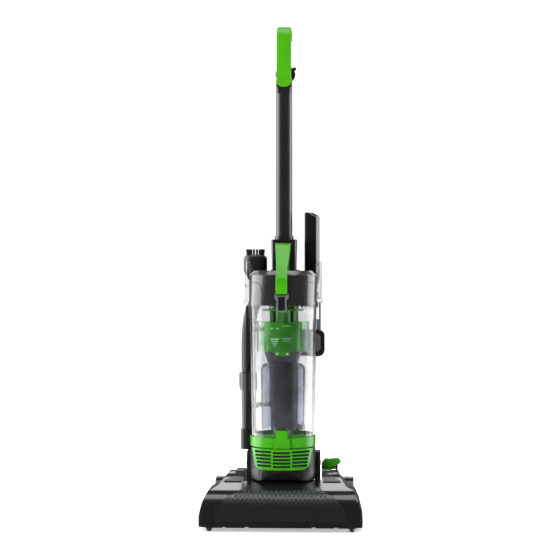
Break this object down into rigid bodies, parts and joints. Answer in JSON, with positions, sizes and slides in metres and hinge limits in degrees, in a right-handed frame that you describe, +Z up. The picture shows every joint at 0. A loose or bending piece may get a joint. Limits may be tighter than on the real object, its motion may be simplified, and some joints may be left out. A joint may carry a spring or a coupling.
{
  "type": "upright vacuum cleaner",
  "caption": "Upright bagless vacuum cleaner with a wide floor head, a clear dust cup on a back spine, a loop handle on a pole and two tools beside the cup.",
  "frame": {"origin": "on the floor, in the middle of the machine's footprint", "axes": "+Z up; +Y towards the back; +X towards the right of a viewer who faces the front"},
  "size_m": [0.345, 0.281, 1.088],
  "materials": {
    "black_gloss": "high gloss",
    "black_matte": "fine texture",
    "graphite": "metallic gloss",
    "silver_plastic": "satin",
    "green": "satin gloss",
    "green_soft": "soft touch",
    "clear": "clear gloss",
    "grey_plastic": "satin",
    "hose_grey": "satin",
    "steel": "brushed",
    "copper": "varnished winding",
    "roll_plastic": "satin",
    "bristle": "soft",
    "belt_rubber": "matt",
    "filter_felt": "felt"
  },
  "bodies": {
    "nozzle": {"nozzle_hood": "black_gloss", "crown_cover": "black_matte", "end_caps": "silver_plastic", "shoulders": "graphite", "foot_pads": "black_matte", "arms": "black_matte", "soleplate": "black_matte", "sole_screws": "steel", "brush_spindle": "steel", "drive_belt": "belt_rubber", "belt_guard": "black_matte", "suction_duct": "black_matte", "pivot_pins": "steel", "wheel_axles": "steel", "roller_axles": "black_matte", "pedal_post": "black_matte"},
    "brush": {"brush_roll": "roll_plastic", "brush_bristles": "bristle"},
    "wheel_right": {"rear_wheel_right": "black_gloss"},
    "wheel_left": {"rear_wheel_left": "black_gloss"},
    "roller_right": {"front_roller_right": "roll_plastic"},
    "roller_left": {"front_roller_left": "roll_plastic"},
    "pedal": {"recline_pedal": "green"},
    "upright": {"motor_base": "black_matte", "yokes": "black_gloss", "motor_case": "steel", "motor_field": "copper", "exhaust_filter": "filter_felt", "spine": "black_matte", "collar": "black_gloss", "upright_screws": "steel", "tool_bracket": "clear", "duster_bracket": "clear", "left_rail": "black_matte", "lower_hook": "black_matte", "side_rail": "grey_plastic", "pole": "black_gloss", "handle_core": "black_gloss", "grip": "green_soft", "cord_gland": "black_matte", "hose_tube": "grey_plastic", "hose_cuff": "grey_plastic", "hose": "hose_grey"},
    "rotor": {"motor_rotor": "steel", "fan_impeller": "roll_plastic"},
    "grille": {"exhaust_grille": "green"},
    "cup": {"cup_shell": "clear", "base_door": "green", "lid": "graphite", "latch_frame": "silver_plastic", "carry_handle": "green", "cyclone_shroud": "green", "cyclone_plate": "green", "inner_column": "black_matte"},
    "release": {"latch_button": "black_gloss"},
    "cup_door_latch": {"door_latch": "green"},
    "turning_hook": {"upper_hook": "black_matte"},
    "rocker": {"power_switch": "black_matte"},
    "crevice": {"crevice_tool": "black_gloss"},
    "duster": {"dusting_brush": "bristle"}
  },
  "joints": [
    {"name": "recline", "type": "hinge", "parent": "nozzle", "child": "upright", "pos_m": [0, 0.045, 0.062], "axis": [-1, 0, 0], "range_deg": [0, 70]},
    {"name": "motor_spin", "type": "hinge", "parent": "upright", "child": "rotor", "pos_m": [0, 0.045, 0.062], "axis": [1, 0, 0], "continuous": true},
    {"name": "brush_spin", "type": "hinge", "parent": "nozzle", "child": "brush", "pos_m": [0, -0.096, 0.027], "axis": [1, 0, 0], "continuous": true},
    {"name": "wheel_right_roll", "type": "hinge", "parent": "nozzle", "child": "wheel_right", "pos_m": [0.139, 0.095, 0.045], "axis": [1, 0, 0], "continuous": true},
    {"name": "wheel_left_roll", "type": "hinge", "parent": "nozzle", "child": "wheel_left", "pos_m": [-0.139, 0.095, 0.045], "axis": [1, 0, 0], "continuous": true},
    {"name": "roller_right_roll", "type": "hinge", "parent": "nozzle", "child": "roller_right", "pos_m": [0.1495, -0.126, 0.008], "axis": [1, 0, 0], "continuous": true},
    {"name": "roller_left_roll", "type": "hinge", "parent": "nozzle", "child": "roller_left", "pos_m": [-0.1495, -0.126, 0.008], "axis": [1, 0, 0], "continuous": true},
    {"name": "pedal_press", "type": "hinge", "parent": "nozzle", "child": "pedal", "pos_m": [0.108, 0.084, 0.112], "axis": [-1, 0, 0], "range_deg": [0, 10], "stiffness_Nm_per_rad": 0.8, "springref_deg": -11.46},
    {"name": "grille_pull", "type": "slide", "parent": "upright", "child": "grille", "axis": [0, -1, 0], "range_m": [0, 0.035]},
    {"name": "cup_lift_out", "type": "slide", "parent": "upright", "child": "cup", "axis": [0, -1, 0], "range_m": [0, 0.16]},
    {"name": "release_press", "type": "slide", "parent": "cup", "child": "release", "axis": [0, 1, 0], "range_m": [0, 0.002], "stiffness_N_per_m": 400, "springref_m": -0.002},
    {"name": "door_latch_flex", "type": "hinge", "parent": "cup", "child": "cup_door_latch", "pos_m": [0, -0.066, 0.174], "axis": [1, 0, 0], "range_deg": [0, 8], "stiffness_Nm_per_rad": 0.5, "springref_deg": -8.59},
    {"name": "hook_turn", "type": "hinge", "parent": "upright", "child": "turning_hook", "pos_m": [0, 0.125, 0.99], "axis": [0, 1, 0], "range_deg": [0, 180]},
    {"name": "rocker_tilt", "type": "hinge", "parent": "upright", "child": "rocker", "pos_m": [0, 0.112, 1.03], "axis": [1, 0, 0], "range_deg": [-8, 8]},
    {"name": "crevice_lift", "type": "slide", "parent": "upright", "child": "crevice", "axis": [0, 0, 1], "range_m": [0, 0.12]},
    {"name": "duster_lift", "type": "slide", "parent": "upright", "child": "duster", "axis": [0, 0, 1], "range_m": [0, 0.05]}
  ],
  "couplings": [
    {"joint": "brush_spin", "follows": "motor_spin", "ratio": 0.5}
  ]
}
